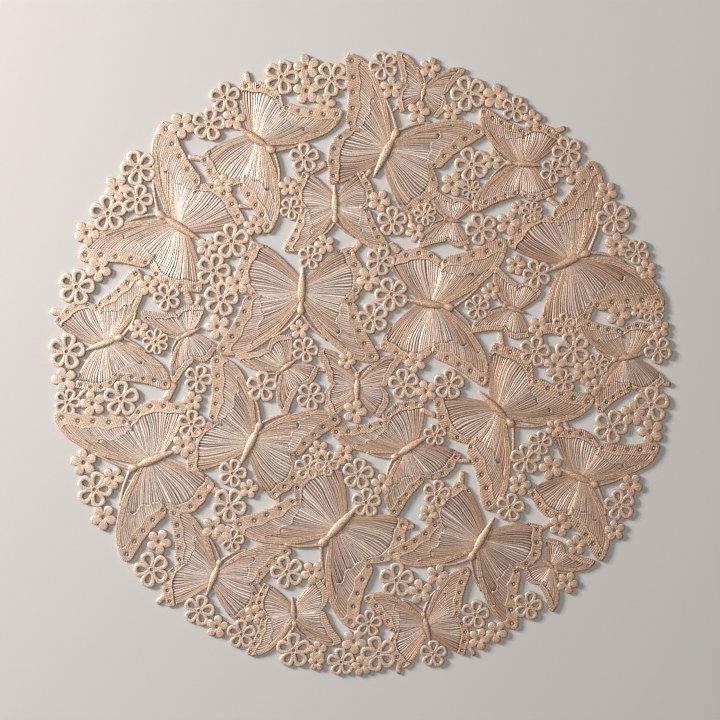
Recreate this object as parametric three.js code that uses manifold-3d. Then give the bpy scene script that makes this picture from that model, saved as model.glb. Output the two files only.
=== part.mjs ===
import * as THREE from "three";
import { mergeVertices } from "three/addons/utils/BufferGeometryUtils.js";
import Module from "manifold-3d";

// Round cutwork placemat of pressed foil-faced vinyl: 27 butterflies joined by small flowers and short links.
// Millimetres, Z up, origin at the middle of the face that lies on the table.

const SHEET_THICKNESS = 1.8;
const BODY_WIDTH_SHARE = 0.16;
const BODY_WIDTH_LEAST = 1.2;
const WING_ROOT_SHARE = 0.36;
const PETALS = 5;
const SLIT_PETALS = 7;
const LARGE_FLOWER = 18;
const PETAL_SHOULDER_TURN = THREE.MathUtils.degToRad(18);
const PETAL_TIP_REACH = 1.06;
const LINK_OVERLAP = 0.8;
const WELD_DISTANCE = 0.4;

// One half of a butterfly, from its shoulder round both wings to its tail. Each row is a point as shares of
// the vectors from the wing root to the fore wing's tip, to the hind wing's tip and to the tail.
const WING_OUTLINE = [
  // fore, hind, tail
  [0.06, -0.06, -0.3],
  [0.42, -0.27, 0],
  [0.77, -0.25, 0],
  [0.98, -0.06, 0],
  [0.7, 0.2, 0],
  [0.44, 0.42, 0],
  [0.31, 0.36, 0],
  [0.32, 0.6, 0],
  [0.18, 0.9, 0],
  [0, 1.02, 0.06],
  [0, 0.9, 0.36],
  [0, 0.55, 0.62],
  [0, 0.16, 0.58],
];

// Butterflies: head, tail, left fore tip, left hind tip, right fore tip, right hind tip.
const BUTTERFLIES = [
  [[-122, 90.5], [-96, 74], [-172.5, 64], [-103, 44], [-118.5, 148.5], [-73, 92]],
  [[-54, 130.5], [-76, 145.5], [-10, 154], [-67.5, 171.5], [-56, 79], [-95, 120]],
  [[22, 140.5], [8.5, 114], [-7.5, 189.5], [-18.5, 115], [77, 142], [35, 94]],
  [[40, 170.5], [37.5, 160], [22, 190.5], [24.5, 155], [64.5, 179.5], [48, 151]],
  [[-15, 87.5], [-15.5, 109], [18, 70], [3.5, 114], [-46.5, 68.5], [-36, 113.5]],
  [[-36, 32], [-35, 60.5], [11.5, 1], [-3, 66], [-87.5, 6], [-68, 70]],
  [[-147, 15.5], [-168.5, 7.5], [-136, 58], [-184, 29], [-116, -15.5], [-170.5, -15.5]],
  [[-111, 15], [-97.5, 21.5], [-114, -12.5], [-89.5, 6.5], [-134, 31.5], [-98, 35]],
  [[91.5, 122.5], [113, 121], [69.5, 92.5], [117.5, 103], [74.5, 156.5], [121, 141]],
  [[52, 88], [62.5, 86.5], [35.5, 70.5], [65.5, 72.5], [42.5, 108.5], [68, 98]],
  [[138.5, 67], [114.5, 56], [142.5, 124], [92.5, 76.5], [186.5, 35], [116, 18]],
  [[55, 34], [27, 39], [89.5, 76], [21.5, 65.5], [77, -14], [17, 6.5]],
  [[88.5, 35], [102, 30.5], [68, 19], [100.5, 15.5], [83.5, 59], [109, 46]],
  [[156, 2], [174, 5.5], [146, -30.5], [184, -13.5], [132.5, 28], [181, 22]],
  [[-50, -6], [-38.5, 2.5], [-45.5, -32], [-26, -5], [-76.5, 4.5], [-45.5, 17]],
  [[-1.5, -7.5], [-2, -26], [-26.5, 8.5], [-19, -29], [26.5, 4.5], [13.5, -30.5]],
  [[-61.5, -38.5], [-73.5, -63], [-89.5, 4.5], [-105.5, -61.5], [-11, -34], [-48.5, -80.5]],
  [[-139, -64.5], [-111.5, -53], [-143.5, -122], [-92.5, -79], [-187, -30.5], [-112, -25]],
  [[-86, -122.5], [-94, -142.5], [-116, -89], [-118.5, -145.5], [-41.5, -114.5], [-71, -156.5]],
  [[-22.5, -110], [0, -86.5], [-4.5, -163], [28, -102.5], [-78.5, -98.5], [-22.5, -61.5]],
  [[-40, -160], [-41.5, -143.5], [-11.5, -171.5], [-23.5, -134], [-69, -178.5], [-59.5, -137.5]],
  [[21.5, -57.5], [42.5, -44], [21, -94.5], [59.5, -60.5], [-18, -41], [33, -23.5]],
  [[92.5, -37], [73, -17.5], [144, -22.5], [87, 10.5], [78, -91], [46.5, -26.5]],
  [[144, -74.5], [122, -64.5], [183.5, -50], [122.5, -41], [147.5, -121.5], [105.5, -83]],
  [[68.5, -118.5], [82, -95], [95, -163.5], [111, -105], [16.5, -117.5], [57, -75.5]],
  [[120, -127.5], [112, -119.5], [144, -121.5], [116, -107.5], [117.5, -152.5], [100.5, -127.5]],
  [[39, -154], [43, -171], [2.5, -143.5], [25, -184.5], [67, -125.5], [64.5, -176]],
];

// Flowers with pierced petals: x, y, width across, turn of the first petal in degrees.
const OPEN_FLOWERS = [
  [-92.5, 146, 21, 8], [-135.5, 119.5, 22.5, 40], [-136, 100, 19.5, 0], [-154, 91.5, 23.5, 23],
  [-42, 94.5, 14.5, 62], [-78.5, 74.5, 22.5, 23], [-89.5, 56.5, 21.5, 0], [-85, 39, 22, 8],
  [-30.5, 64.5, 15.5, 5], [12.5, 62.5, 18.5, 68], [8, 27.5, 20, 33], [-33.5, 8, 16.5, 68],
  [20, 86.5, 19, 18], [74.5, 82, 20.5, 38], [108.5, 54.5, 18, 40], [19.5, 42, 21.5, 40],
  [72, 34, 16, 18], [95, 155.5, 17, 3], [127, 129.5, 19, 38], [118, 117.5, 16, 62],
  [155.5, 88.5, 22, 33], [169.5, 68, 16, 50], [-173.5, 46.5, 23, 5], [-179.5, 7, 23, 8],
  [-179, -24, 17, 70], [-146, -22, 22.5, 18], [-118, 40, 17.5, 38], [-99, -10, 18, 70],
  [-103, -37.5, 18, 13], [-60, -14.5, 19.5, 13], [-30, -20.5, 18, 63], [-78, -67.5, 18, 1],
  [-32, -64, 16.5, 18], [-20, -61.5, 16, 60], [-1, -68, 20, 10], [4, -85.5, 18.5, 13],
  [-80, -87, 22, 57], [27, -13, 19.5, 25], [54.5, -13, 19.5, 13], [46, -44, 14.5, 21],
  [107, 7, 19.5, 5], [101.5, -59, 19.5, 18], [110.5, -49, 15.5, 8], [47, -80, 17.5, 6],
  [130.5, 8.5, 22, 38], [125, 23.5, 14.5, 18], [125, -11, 15.5, 23], [182.5, 8, 17.5, 50],
  [178.5, -25.5, 22.5, 16], [153.5, -39, 21.5, 68], [-162.5, -77.5, 22.5, 1], [-127.5, -126.5, 22.5, 36],
  [-78, -108.5, 15, 5], [-44.5, -128, 21, 35], [5.5, -159.5, 17, 11], [-72.5, -166, 18.5, 18],
  [-98.5, -151.5, 19.5, 1], [-40.5, -176, 22, 18], [11.5, -178, 22.5, 36], [-11.5, -183, 17.5, 23],
  [22.5, -133, 22, 16], [70.5, -154, 18, 8], [103, -148.5, 18, 3], [92, -88.5, 18, 6],
  [159, -87, 19.5, 28], [45, -178, 17, 16], [14.5, 182, 18.5, 40], [66.5, 165, 22.5, 38],
  [68.5, 121.5, 22, 38], [-48, 175, 22, 1], [-17, 174, 22, 52], [-82.5, 162.5, 19.5, 23],
  [-34, 125.5, 19, 18],
];

// Flowers with domed petals, in the same columns.
const SOLID_FLOWERS = [
  [-109, 145.5, 17, 54], [-148.5, 107, 17, 65], [-167, 79.5, 16.5, 62], [-93.5, 71, 13.5, 65],
  [-83, 109.5, 13, 22], [-44, 108, 12.5, 23], [-65, 84, 13, 26], [-74.5, 49, 16, 20],
  [-87, 22, 16.5, 35], [-21.5, 72.5, 13, 35], [12, 99, 14.5, 65], [5.5, 51.5, 16, 54],
  [-37, 20.5, 12.5, 18], [57, 109.5, 16, 0], [34, 80, 12.5, 43], [91, 85.5, 16, 0],
  [97, 95, 10, 8], [95.5, 60, 13, 5], [80, 43.5, 12, 23], [105.5, 149, 12.5, 18],
  [83, 163, 16.5, 8], [131.5, 116, 15, 22], [151, 104.5, 14, 55], [157.5, 72, 16, 18],
  [175.5, 57, 13, 32], [-160, 57.5, 16.5, 54], [-181, -10.5, 16.5, 35], [-163.5, -25, 16.5, 33],
  [-129.5, 47.5, 13.5, 23], [-135.5, 20.5, 13, 23], [-102.5, -23.5, 13, 25], [-8, 1.5, 11.5, 60],
  [-3, -30, 15.5, 0], [-68, -77, 12.5, 6], [-25, -53, 12.5, 40], [-10, -56, 13.5, 43],
  [13.5, -74.5, 14, 18], [34, 0.5, 14, 44], [40.5, -17.5, 14.5, 36], [98, -74.5, 14.5, 0],
  [109.5, 22, 13.5, 58], [119.5, -1.5, 15.5, 18], [137, -6, 15.5, 60], [142.5, -15, 11.5, 70],
  [158.5, 29.5, 15.5, 68], [170.5, 32, 10, 70], [183.5, 21, 12.5, 30], [167, -31, 16, 15],
  [178, -42, 16.5, 36], [119, -40, 11.5, 60], [-169, -61, 17, 25], [-151, -70.5, 14.5, 63],
  [-157, -94.5, 16.5, 54], [-123, -109.5, 16, 63], [-108, -51, 15.5, 64], [-89.5, -101, 15.5, 70],
  [-84, -104.5, 13, 40], [-29, -128.5, 15, 52], [-64.5, -154, 13, 3], [-87.5, -161.5, 14.5, 8],
  [-3.5, -170.5, 16, 60], [1, -185.5, 13, 33], [42, -92.5, 13, 60], [37, -140, 16, 28],
  [47.5, -130, 14.5, 0], [73, -169, 14, 70], [83.5, -164.5, 14, 55], [117, -64, 15.5, 36],
  [166, -74.5, 14.5, 52], [156, -102.5, 13, 25], [122.5, -99.5, 14.5, 0], [132.5, -111.5, 13, 18],
  [127, -134.5, 14, 64], [19.5, 168.5, 14.5, 18], [43, 180.5, 13.5, 0], [36, 153.5, 14.5, 3],
  [56.5, 154, 12, 3], [81.5, 124, 12.5, 15], [-32.5, 181, 16.5, 30], [-32.5, 166.5, 17, 23],
  [-21.5, 159, 14, 0], [-77, 149.5, 15, 8], [-26, -176, 12.5, 18], [-26.5, -183.5, 10.5, 18],
];

// Small flowers with narrow slits between their petals, in the same columns.
const SLIT_FLOWERS = [
  [68.5, 106, 13, 0], [40, 91, 14.5, 18], [105.5, 92.5, 13.5, 18], [-125, 13, 16.5, 23],
  [145.5, -1, 14.5, 18], [179.5, 31.5, 14.5, 18],
];

// Links: x and y of one end, x and y of the other end, width.
const LINKS = [
  [-104, 126, -96.5, 125, 3.5], [-73.5, 96, -65, 96, 3], [-67.5, 170.5, -69.5, 177, 3.5], [-29.5, 117.5, -21.5, 122, 4.5],
  [-39, 116.5, -36.5, 113, 3], [24, 157.5, 20.5, 154.5, 2], [2.5, 113, 6.5, 118, 3], [-68, 77, -64.5, 70.5, 3.5],
  [0, 73.5, -5, 68, 4.5], [19, 72.5, 23.5, 68.5, 4.5], [31, 92.5, 31, 83, 3.5], [115.5, 100.5, 121, 96.5, 3.5],
  [119, 141.5, 124.5, 143.5, 3.5], [-107, 44.5, -103.5, 36.5, 4], [-101.5, 33, -98, 40, 3], [-181.5, 31, -188, 31.5, 4.5],
  [-114, -13, -118.5, -22, 5], [-27, -4.5, -21.5, -4.5, 2], [-50.5, -79, -50.5, -86.5, 3.5], [60, -60, 66.5, -60, 3],
  [62, -75, 62.5, -67.5, 3.5], [38.5, -29, 45.5, -32, 3.5], [7.5, 8.5, 17, 10, 3.5], [86, 18, 87.5, 9.5, 3.5],
  [13.5, -30, 15.5, -36.5, 2], [182, -11.5, 189, -13, 3.5], [-92.5, -76, -85.5, -79.5, 5], [-62.5, -135.5, -60, -139, 2.5],
  [-21.5, -132.5, -24, -136.5, 2.5], [26.5, -101.5, 32.5, -100, 3.5], [96.5, -125.5, 100.5, -125.5, 3], [111, -102, 116.5, -98.5, 3],
  [125, -35.5, 127, -40, 3.5], [-119.5, -143, -123.5, -146.5, 3.5], [24, -183, 23.5, -189, 3], [66, -173, 69.5, -178, 3],
  [-5, 38.5, -2, 41.5, 4.5], [64, 73.5, 65.5, 70, 3], [-168, -16.5, -173, -21.5, 2.5],
  [-146, -71, -138, -73, 2],
];

const wasm = await Module();
wasm.setup();

function along(root, tip, share) {
  return tip.clone().sub(root).multiplyScalar(share);
}

function wingPair(head, tail, foreTip, hindTip) {
  const root = head.clone().lerp(tail, WING_ROOT_SHARE);
  return WING_OUTLINE.map(([fore, hind, back]) =>
    root
      .clone()
      .add(along(root, foreTip, fore))
      .add(along(root, hindTip, hind))
      .add(along(root, tail, back))
  );
}

function ring(centre, radius, sides, turn) {
  return Array.from({ length: sides }, (_, k) => {
    const angle = turn + (2 * Math.PI * k) / sides;
    return new THREE.Vector2(radius * Math.cos(angle), radius * Math.sin(angle)).add(centre);
  });
}

function strip(start, end, startWidth, endWidth) {
  const side = end.clone().sub(start).normalize().rotateAround(new THREE.Vector2(), Math.PI / 2);
  return [
    start.clone().addScaledVector(side, startWidth / 2),
    start.clone().addScaledVector(side, -startWidth / 2),
    end.clone().addScaledVector(side, -endWidth / 2),
    end.clone().addScaledVector(side, endWidth / 2),
  ];
}

function butterflyOutlines(row) {
  const [head, tail, leftFore, leftHind, rightFore, rightHind] = row.map((p) => new THREE.Vector2(...p));
  const bodyWidth = BODY_WIDTH_LEAST + BODY_WIDTH_SHARE * head.distanceTo(tail);
  return [
    wingPair(head, tail, leftFore, leftHind),
    wingPair(head, tail, rightFore, rightHind),
    strip(head, tail, bodyWidth, bodyWidth * 0.6),
  ];
}

function flowerOutline([x, y, across, turn], petals) {
  const centre = new THREE.Vector2(x, y);
  const first = THREE.MathUtils.degToRad(turn);
  if (across < LARGE_FLOWER) {
    return ring(centre, (across / 2) * PETAL_TIP_REACH, petals, first);
  }
  const before = ring(centre, across / 2, petals, first - PETAL_SHOULDER_TURN);
  const after = ring(centre, across / 2, petals, first + PETAL_SHOULDER_TURN);
  return before.flatMap((shoulder, k) => [shoulder, after[k]]);
}

function linkOutline([x1, y1, x2, y2, width]) {
  const start = new THREE.Vector2(x1, y1);
  const end = new THREE.Vector2(x2, y2);
  const reach = end.clone().sub(start).setLength(LINK_OVERLAP);
  return strip(start.sub(reach), end.add(reach), width, width);
}

function solidFrom(outline) {
  const points = THREE.ShapeUtils.isClockWise(outline) ? [...outline].reverse() : outline;
  const extruded = new THREE.ExtrudeGeometry(new THREE.Shape(points), {
    depth: SHEET_THICKNESS,
    bevelEnabled: false,
  });
  extruded.deleteAttribute("normal");
  extruded.deleteAttribute("uv");
  const merged = mergeVertices(extruded);
  return new wasm.Manifold(
    new wasm.Mesh({
      numProp: 3,
      vertProperties: new Float32Array(merged.attributes.position.array),
      triVerts: new Uint32Array(merged.index.array),
    })
  );
}

function geometryFrom(solid) {
  const mesh = solid.getMesh();
  const geometry = new THREE.BufferGeometry();
  geometry.setAttribute("position", new THREE.BufferAttribute(new Float32Array(mesh.vertProperties), 3));
  geometry.setIndex(new THREE.BufferAttribute(new Uint32Array(mesh.triVerts), 1));
  return geometry;
}

const outlines = [
  ...BUTTERFLIES.flatMap(butterflyOutlines),
  ...OPEN_FLOWERS.map((row) => flowerOutline(row, PETALS)),
  ...SOLID_FLOWERS.map((row) => flowerOutline(row, PETALS)),
  ...SLIT_FLOWERS.map((row) => flowerOutline(row, SLIT_PETALS)),
  ...LINKS.map(linkOutline),
];

const cutwork = outlines.map(solidFrom).reduce((sheet, piece) => sheet.add(piece)).simplify(WELD_DISTANCE);

const pressedVinyl = new THREE.MeshStandardMaterial({ color: 0xcdaa8e, roughness: 0.42, metalness: 0.55 });

const placemat = new THREE.Group();
const sheet = new THREE.Mesh(geometryFrom(cutwork), pressedVinyl);
sheet.name = "cutwork_sheet";
placemat.add(sheet);

export default placemat;
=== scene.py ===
import math

import bmesh
import bpy
import numpy as np
from mathutils import Matrix, Vector


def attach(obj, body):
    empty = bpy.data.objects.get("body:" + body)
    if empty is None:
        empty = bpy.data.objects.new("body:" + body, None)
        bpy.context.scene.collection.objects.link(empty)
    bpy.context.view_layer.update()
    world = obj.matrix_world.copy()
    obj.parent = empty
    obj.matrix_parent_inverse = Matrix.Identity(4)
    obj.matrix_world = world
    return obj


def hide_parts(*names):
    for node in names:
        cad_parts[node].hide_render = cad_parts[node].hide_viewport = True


# Round cutwork placemat of pressed foil-faced vinyl: butterflies joined by small flowers and short links.
# Tables and sizes are in millimetres. Meshes are made in metres, in the frame's own place.

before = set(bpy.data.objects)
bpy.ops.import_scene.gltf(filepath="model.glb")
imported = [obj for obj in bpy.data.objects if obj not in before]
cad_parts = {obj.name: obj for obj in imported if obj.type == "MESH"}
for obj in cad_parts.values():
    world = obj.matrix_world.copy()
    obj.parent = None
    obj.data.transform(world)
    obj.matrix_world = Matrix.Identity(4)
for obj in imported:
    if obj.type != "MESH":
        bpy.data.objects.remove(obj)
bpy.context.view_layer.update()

MM = 0.001
MERGE = 1e-8

# Heights of the pressed face above the floor, and of each step above the field of its wing
HIND_FIELD = 1.28
FORE_FIELD = 1.48
MID_BAND_STEP = 0.17
BORDER_STEP = 0.38
LEAD_BAND_STEP = 0.26
FLOWER_HEIGHT = 2.0
LINK_HEIGHT = 1.6
FEELER_HEIGHT = 2.0
LEAST_HEIGHT = 0.3

# How much neighbours differ in height, so that no two faces lie in one plane
NEIGHBOUR_LIFT = 0.16
FLOWER_LIFT = 0.1

# A wing's root, as a share of the body from head to tail, and the least length of a large wing
WING_ROOT_SHARE = 0.36
LARGE_WING = 36

# Veins of a wing's field
VEIN_PITCH = 1.85
VEIN_DEPTH = 0.85
STEEPEST_CUT = 0.5
MAIN_VEIN_WIDTH = 2.0
VEIN_BOW = 0.05
FIELD_ROW = 3.3
FIELD_UNDERLAP = 1.2
COLUMNS_PER_VEIN = 4
# From one groove to the next: depth, painted shade in the groove, and painted highlight on the ridge
VEIN_CUT = np.array([1.0, 0.28, 0.0, 0.28])
VEIN_PAINTED_SHADE = np.array([1.0, 0.4, 0.0, 0.45])
VEIN_PAINTED_HIGHLIGHT = np.array([0.0, 0.75, 1.8, 0.7])

# Lines of the step inside a large fore wing's border
MID_BAND_SHARE = 0.26
MID_LINE_PITCH = 1.8
MID_LINE_DEPTH = 0.5

# Edges, studs and beads of the borders
EDGE_ROUND = 0.5
STEP_ROUND = 0.22
LIP_HEIGHT = 0.13
LIP_INSET = 0.45
STUD_ROW = 0.48
STUD_GROOVE = 0.6
HATCH_PITCH = 1.4
BEAD_PITCH = 1.5
BEAD_HEIGHT = 0.15

# Bodies
BODY_WIDTH_SHARE = 0.145
BODY_WIDTH_LEAST = 1.1
BODY_BASE = 1.35
BODY_RISE = 0.5

# How much painted sheen, how much painted shade and how coarse the plain parts are
BORDER_PAINTED_SHEEN = 0.15
MID_BAND_PAINTED_SHEEN = 0.7
LEAD_BAND_TONE = 0.1
BAR_TONE = (0.1, 0, 1)

# One wing's edges. Each row is a point as shares of the vectors from the wing root to the fore wing's tip,
# to the hind wing's tip and to the tail.
FORE_WING = {
    "lead": [(0, 0, -0.3), (0.2, -0.15, -0.1), (0.45, -0.27, 0), (0.75, -0.27, 0), (0.93, -0.15, 0),
             (1, -0.03, 0)],
    "trail": [(0, 0.02, 0.1), (0.1, 0.13, 0.04), (0.23, 0.28, 0), (0.33, 0.42, 0)],
    "inner": [(0, 0, -0.3), (0.02, 0, 0), (0, 0.02, 0.1)],
    "margin": [(1, -0.03, 0), (0.97, 0.06, 0), (0.88, 0.12, 0), (0.7, 0.21, 0), (0.53, 0.33, 0),
               (0.42, 0.43, 0), (0.33, 0.42, 0)],
}
HIND_WING = {
    "lead": [(0.02, 0, -0.1), (0.13, 0.1, 0), (0.23, 0.22, 0), (0.31, 0.34, 0)],
    "trail": [(0, 0.02, 0.45), (0, 0.15, 0.55), (0, 0.38, 0.62), (0, 0.62, 0.6)],
    "inner": [(0.02, 0, -0.1), (0, 0.01, 0.2), (0, 0.02, 0.45)],
    "margin": [(0.31, 0.34, 0), (0.34, 0.46, 0), (0.33, 0.6, 0), (0.28, 0.78, 0), (0.16, 0.93, 0),
               (0, 1, 0.06), (-0.02, 0.96, 0.28), (0, 0.8, 0.5), (0, 0.62, 0.6)],
}
FORE_LOBES = 5
HIND_LOBES = 6

# The body from head to tail: share of its length, half width and height as shares of its width
BODY_PROFILE = [
    (-0.12, 0.02, 0.05), (-0.105, 0.26, 0.3), (-0.06, 0.42, 0.46), (0.0, 0.48, 0.52), (0.05, 0.44, 0.48),
    (0.1, 0.33, 0.36), (0.14, 0.27, 0.3), (0.2, 0.35, 0.38), (0.3, 0.46, 0.48), (0.42, 0.5, 0.52),
    (0.55, 0.46, 0.48), (0.7, 0.36, 0.4), (0.85, 0.24, 0.3), (0.95, 0.14, 0.2), (1.02, 0.03, 0.05),
]

# Shares of the border's width, from the margin inwards, with rows close together at the edges and the studs
BORDER_ROWS = np.array(
    [0, 0.02, 0.06, 0.13, 0.22, 0.31, 0.36, 0.41, 0.46, 0.51, 0.56, 0.61, 0.68, 0.8, 0.9, 0.95, 0.98, 1]
)
COLUMNS_PER_STUD = 13
# Shares of the mid band's width, from its inner step outwards
MID_BAND_ROWS = np.array([0, 0.02, 0.05, 0.09, 0.25, 0.45, 0.65, 0.85, 1])
# Shares of the leading band's width, from the wing's edge inwards, and the furrows along it
LEAD_BAND_ROWS = np.array([0, 0.04, 0.12, 0.28, 0.38, 0.48, 0.6, 0.7, 0.8, 0.93, 0.98, 1])
LEAD_FURROWS = np.array([0, 0, 0, 0, 1, 0, 0, 1, 0, 0, 0, 0])
FURROW_DEPTH = 0.16

# From the outer edge of a flower's part inwards: share of the way, share of the height, and painted
# highlight, strongest on the rounded rim
PETAL_PROFILE = [
    (0, 0, 0), (0, 0.77, 0.2), (0.08, 0.94, 0.5), (0.24, 1, 0.25), (0.84, 1, 0.1), (1, 0.86, 0), (1, 0, 0),
    (0, 0, 0),
]
ROSETTE_PROFILE = [
    (0, 0, 0), (0, 0.78, 0.2), (0.06, 0.92, 0.5), (0.16, 0.99, 0.25), (0.45, 1.02, 0.1), (0.88, 1, 0.2),
    (1, 0.88, 0.1), (1, 0, 0), (0, 0, 0),
]
EYE_PROFILE = [
    (0, 0, 0), (0, 0.85, 0.2), (0.25, 0.98, 0.5), (0.7, 1, 0.4), (1, 0.8, 0.1), (1, 0, 0), (0, 0, 0),
]
EYE_HEIGHT = FLOWER_HEIGHT * 1.04
PINHOLE_RADIUS = 0.09

# Pierced flowers of radius 1: petals, points round each, its half width, then the half width, start and end
# of its hole, and the eye's radius
OPEN_SHAPE = (5, 18, 0.385, 0.13, 0.26, 0.765, 0.19)
SLIT_SHAPE = (7, 14, 0.31, 0.1, 0.38, 0.84, 0.2)
# Flat flower of radius 1: petals, how far out their middles are, their radius, the waist and the hole
ROSETTE_SHAPE = (5, 0.645, 0.355, 0.4, 0.12)

# Butterflies: head, tail, left fore tip, left hind tip, right fore tip, right hind tip
BUTTERFLIES = [
    [[-122, 90.5], [-96, 74], [-172.5, 64], [-103, 44], [-118.5, 148.5], [-73, 92]],
    [[-54, 130.5], [-76, 145.5], [-10, 154], [-67.5, 171.5], [-56, 79], [-95, 120]],
    [[22, 140.5], [8.5, 114], [-7.5, 189.5], [-18.5, 115], [77, 142], [35, 94]],
    [[40, 170.5], [37.5, 160], [22, 190.5], [24.5, 155], [64.5, 179.5], [48, 151]],
    [[-15, 87.5], [-15.5, 109], [18, 70], [3.5, 114], [-46.5, 68.5], [-36, 113.5]],
    [[-36, 32], [-35, 60.5], [11.5, 1], [-3, 66], [-87.5, 6], [-68, 70]],
    [[-147, 15.5], [-168.5, 7.5], [-136, 58], [-184, 29], [-116, -15.5], [-170.5, -15.5]],
    [[-111, 15], [-97.5, 21.5], [-114, -12.5], [-89.5, 6.5], [-134, 31.5], [-98, 35]],
    [[91.5, 122.5], [113, 121], [69.5, 92.5], [117.5, 103], [74.5, 156.5], [121, 141]],
    [[52, 88], [62.5, 86.5], [35.5, 70.5], [65.5, 72.5], [42.5, 108.5], [68, 98]],
    [[138.5, 67], [114.5, 56], [142.5, 124], [92.5, 76.5], [186.5, 35], [116, 18]],
    [[55, 34], [27, 39], [89.5, 76], [21.5, 65.5], [77, -14], [17, 6.5]],
    [[88.5, 35], [102, 30.5], [68, 19], [100.5, 15.5], [83.5, 59], [109, 46]],
    [[156, 2], [174, 5.5], [146, -30.5], [184, -13.5], [132.5, 28], [181, 22]],
    [[-50, -6], [-38.5, 2.5], [-45.5, -32], [-26, -5], [-76.5, 4.5], [-45.5, 17]],
    [[-1.5, -7.5], [-2, -26], [-26.5, 8.5], [-19, -29], [26.5, 4.5], [13.5, -30.5]],
    [[-61.5, -38.5], [-73.5, -63], [-89.5, 4.5], [-105.5, -61.5], [-11, -34], [-48.5, -80.5]],
    [[-139, -64.5], [-111.5, -53], [-143.5, -122], [-92.5, -79], [-187, -30.5], [-112, -25]],
    [[-86, -122.5], [-94, -142.5], [-116, -89], [-118.5, -145.5], [-41.5, -114.5], [-71, -156.5]],
    [[-22.5, -110], [0, -86.5], [-4.5, -163], [28, -102.5], [-78.5, -98.5], [-22.5, -61.5]],
    [[-40, -160], [-41.5, -143.5], [-11.5, -171.5], [-23.5, -134], [-69, -178.5], [-59.5, -137.5]],
    [[21.5, -57.5], [42.5, -44], [21, -94.5], [59.5, -60.5], [-18, -41], [33, -23.5]],
    [[92.5, -37], [73, -17.5], [144, -22.5], [87, 10.5], [78, -91], [46.5, -26.5]],
    [[144, -74.5], [122, -64.5], [183.5, -50], [122.5, -41], [147.5, -121.5], [105.5, -83]],
    [[68.5, -118.5], [82, -95], [95, -163.5], [111, -105], [16.5, -117.5], [57, -75.5]],
    [[120, -127.5], [112, -119.5], [144, -121.5], [116, -107.5], [117.5, -152.5], [100.5, -127.5]],
    [[39, -154], [43, -171], [2.5, -143.5], [25, -184.5], [67, -125.5], [64.5, -176]],
]

# Flowers with pierced petals: x, y, width across, turn of the first petal in degrees
OPEN_FLOWERS = [
    [-92.5, 146, 21, 8], [-135.5, 119.5, 22.5, 40], [-136, 100, 19.5, 0], [-154, 91.5, 23.5, 23],
    [-42, 94.5, 14.5, 62], [-78.5, 74.5, 22.5, 23], [-89.5, 56.5, 21.5, 0], [-85, 39, 22, 8],
    [-30.5, 64.5, 15.5, 5], [12.5, 62.5, 18.5, 68], [8, 27.5, 20, 33], [-33.5, 8, 16.5, 68],
    [20, 86.5, 19, 18], [74.5, 82, 20.5, 38], [108.5, 54.5, 18, 40], [19.5, 42, 21.5, 40],
    [72, 34, 16, 18], [95, 155.5, 17, 3], [127, 129.5, 19, 38], [118, 117.5, 16, 62],
    [155.5, 88.5, 22, 33], [169.5, 68, 16, 50], [-173.5, 46.5, 23, 5], [-179.5, 7, 23, 8],
    [-179, -24, 17, 70], [-146, -22, 22.5, 18], [-118, 40, 17.5, 38], [-99, -10, 18, 70],
    [-103, -37.5, 18, 13], [-60, -14.5, 19.5, 13], [-30, -20.5, 18, 63], [-78, -67.5, 18, 1],
    [-32, -64, 16.5, 18], [-20, -61.5, 16, 60], [-1, -68, 20, 10], [4, -85.5, 18.5, 13],
    [-80, -87, 22, 57], [27, -13, 19.5, 25], [54.5, -13, 19.5, 13], [46, -44, 14.5, 21],
    [107, 7, 19.5, 5], [101.5, -59, 19.5, 18], [110.5, -49, 15.5, 8], [47, -80, 17.5, 6],
    [130.5, 8.5, 22, 38], [125, 23.5, 14.5, 18], [125, -11, 15.5, 23], [182.5, 8, 17.5, 50],
    [178.5, -25.5, 22.5, 16], [153.5, -39, 21.5, 68], [-162.5, -77.5, 22.5, 1], [-127.5, -126.5, 22.5, 36],
    [-78, -108.5, 15, 5], [-44.5, -128, 21, 35], [5.5, -159.5, 17, 11], [-72.5, -166, 18.5, 18],
    [-98.5, -151.5, 19.5, 1], [-40.5, -176, 22, 18], [11.5, -178, 22.5, 36], [-11.5, -183, 17.5, 23],
    [22.5, -133, 22, 16], [70.5, -154, 18, 8], [103, -148.5, 18, 3], [92, -88.5, 18, 6],
    [159, -87, 19.5, 28], [45, -178, 17, 16], [14.5, 182, 18.5, 40], [66.5, 165, 22.5, 38],
    [68.5, 121.5, 22, 38], [-48, 175, 22, 1], [-17, 174, 22, 52], [-82.5, 162.5, 19.5, 23],
    [-34, 125.5, 19, 18],
]

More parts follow.
